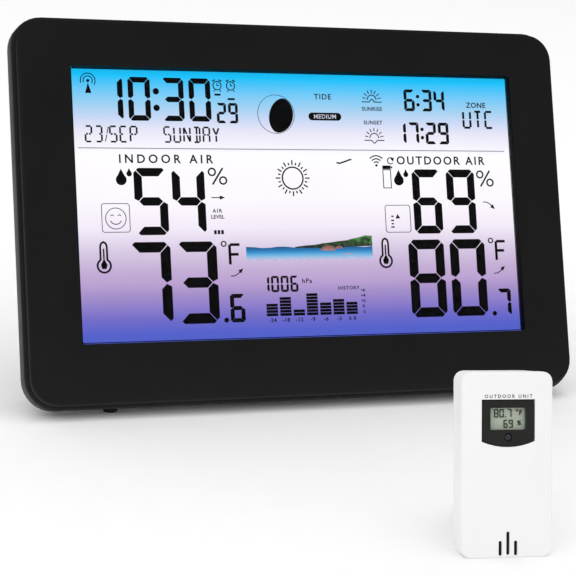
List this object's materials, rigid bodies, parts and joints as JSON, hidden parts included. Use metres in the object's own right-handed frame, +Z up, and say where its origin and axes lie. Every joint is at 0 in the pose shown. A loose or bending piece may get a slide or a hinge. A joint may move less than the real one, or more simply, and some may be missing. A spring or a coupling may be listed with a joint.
{
  "type": "home weather station",
  "caption": "Leaning tabletop weather console with a wide back-lit colour display, rear keys and a fold-out leg, and a small white wireless sensor on its own kickstand.",
  "frame": {"origin": "centre of the whole set's footprint, on the surface it stands on", "axes": "+Z up, the console faces -Y, +X to the right of a person who reads it"},
  "size_m": [0.2052, 0.2036, 0.1281],
  "materials": {
    "face_abs": "fine satin moulded ABS",
    "case_abs": "fine spark-textured ABS",
    "white_abs": "satin white ABS",
    "grey_abs": "satin grey ABS",
    "clear_pmma": "polished clear acrylic",
    "lcd_glass": "polished glass cell",
    "colour_film": "back-lit printed colour film, blue through lilac to violet",
    "white_film": "white reflector film and ABS",
    "smoked_pmma": "back-printed dark acrylic",
    "grey_lcd": "reflective grey-green display",
    "light_pipe": "clear light pipe",
    "circuit_board": "solder-masked glass epoxy",
    "black_epoxy": "moulded black epoxy",
    "polyimide": "amber polyimide film",
    "ferrite": "sintered dark grey ferrite",
    "copper": "enamelled copper wire",
    "nickel": "nickel-plated spring steel",
    "steel": "zinc-plated steel",
    "rubber": "matte black rubber",
    "cell_sleeve": "shrink sleeve"
  },
  "bodies": {
    "console": {"front_frame": "face_abs", "rear_housing": "case_abs", "window_lens": "clear_pmma", "light_guide": "clear_pmma", "lcd_panel": "lcd_glass", "colour_film": "colour_film", "reflector_sheet": "white_film", "backlight_tray": "white_film", "led_strip": "white_film", "hygro_element": "white_film", "main_board": "circuit_board", "radio_board": "circuit_board", "key_board": "circuit_board", "processor_blob": "black_epoxy", "buzzer": "black_epoxy", "dc_inlet": "black_epoxy", "snooze_switch": "black_epoxy", "display_flex": "polyimide", "ferrite_rod": "ferrite", "antenna_coil": "copper", "radio_antenna": "copper", "cell_spring_1": "nickel", "cell_spring_2": "nickel", "cell_spring_3": "nickel", "contact_strip_left": "nickel", "contact_strip_right": "nickel", "stand_pin": "steel", "case_screw_1": "steel", "case_screw_2": "steel", "case_screw_3": "steel", "case_screw_4": "steel", "foot_left": "rubber", "foot_right": "rubber", "battery_1": "cell_sleeve", "battery_2": "cell_sleeve", "battery_3": "cell_sleeve"},
    "battery_door": {"battery_door": "case_abs"},
    "stand": {"stand_leg": "case_abs", "leg_pad": "rubber"},
    "snooze_bar": {"snooze_bar": "case_abs"},
    "key_1": {"key_1": "case_abs"},
    "key_2": {"key_2": "case_abs"},
    "key_3": {"key_3": "case_abs"},
    "key_4": {"key_4": "case_abs"},
    "key_5": {"key_5": "case_abs"},
    "key_6": {"key_6": "case_abs"},
    "sensor": {"sensor_front": "white_abs", "sensor_back": "white_abs", "sensor_window": "smoked_pmma", "sensor_lcd": "grey_lcd", "sensor_board": "circuit_board", "sensor_element": "white_film", "sensor_led": "light_pipe", "sensor_cell": "steel", "cell_clip": "nickel", "sensor_pin": "steel"},
    "sensor_cap": {"sensor_cap": "white_abs"},
    "sensor_key": {"sensor_key": "grey_abs"},
    "sensor_leg": {"sensor_leg": "white_abs"}
  },
  "joints": [
    {"name": "leg_fold", "type": "hinge", "parent": "console", "child": "stand", "pos_m": [0, 0.07762, 0.04817], "axis": [1, 0, 0], "range_deg": [-32, 0]},
    {"name": "battery_door_slide", "type": "slide", "parent": "console", "child": "battery_door", "axis": [0, -0.342, -0.9397], "range_m": [0, 0.038]},
    {"name": "snooze_press", "type": "slide", "parent": "console", "child": "snooze_bar", "axis": [0, -0.342, -0.9397], "range_m": [0, 0.0008], "stiffness_N_per_m": 300, "springref_m": -0.0008},
    {"name": "key_1_press", "type": "slide", "parent": "console", "child": "key_1", "axis": [0, -0.9397, 0.342], "range_m": [0, 0.0006], "stiffness_N_per_m": 300, "springref_m": -0.0008},
    {"name": "key_2_press", "type": "slide", "parent": "console", "child": "key_2", "axis": [0, -0.9397, 0.342], "range_m": [0, 0.0006], "stiffness_N_per_m": 300, "springref_m": -0.0008},
    {"name": "key_3_press", "type": "slide", "parent": "console", "child": "key_3", "axis": [0, -0.9397, 0.342], "range_m": [0, 0.0006], "stiffness_N_per_m": 300, "springref_m": -0.0008},
    {"name": "key_4_press", "type": "slide", "parent": "console", "child": "key_4", "axis": [0, -0.9397, 0.342], "range_m": [0, 0.0006], "stiffness_N_per_m": 300, "springref_m": -0.0008},
    {"name": "key_5_press", "type": "slide", "parent": "console", "child": "key_5", "axis": [0, -0.9397, 0.342], "range_m": [0, 0.0006], "stiffness_N_per_m": 300, "springref_m": -0.0008},
    {"name": "key_6_press", "type": "slide", "parent": "console", "child": "key_6", "axis": [0, -0.9397, 0.342], "range_m": [0, 0.0006], "stiffness_N_per_m": 300, "springref_m": -0.0008},
    {"name": "sensor_lift", "type": "slide", "parent": "console", "child": "sensor", "axis": [0, 0, 1], "range_m": [0, 0.12]},
    {"name": "sensor_leg_fold", "type": "hinge", "parent": "sensor", "child": "sensor_leg", "pos_m": [0.00744, -0.07512, 0.03814], "axis": [0.9938, -0.1115, 0], "range_deg": [-27, 0]},
    {"name": "cell_cap_turn", "type": "hinge", "parent": "sensor", "child": "sensor_cap", "pos_m": [0.00659, -0.08273, 0.02], "axis": [0.1077, 0.9599, -0.2588], "range_deg": [0, 30]},
    {"name": "sensor_key_press", "type": "slide", "parent": "sensor", "child": "sensor_key", "axis": [-0.1077, -0.9599, 0.2588], "range_m": [0, 0.0004], "stiffness_N_per_m": 300, "springref_m": -0.0008}
  ]
}
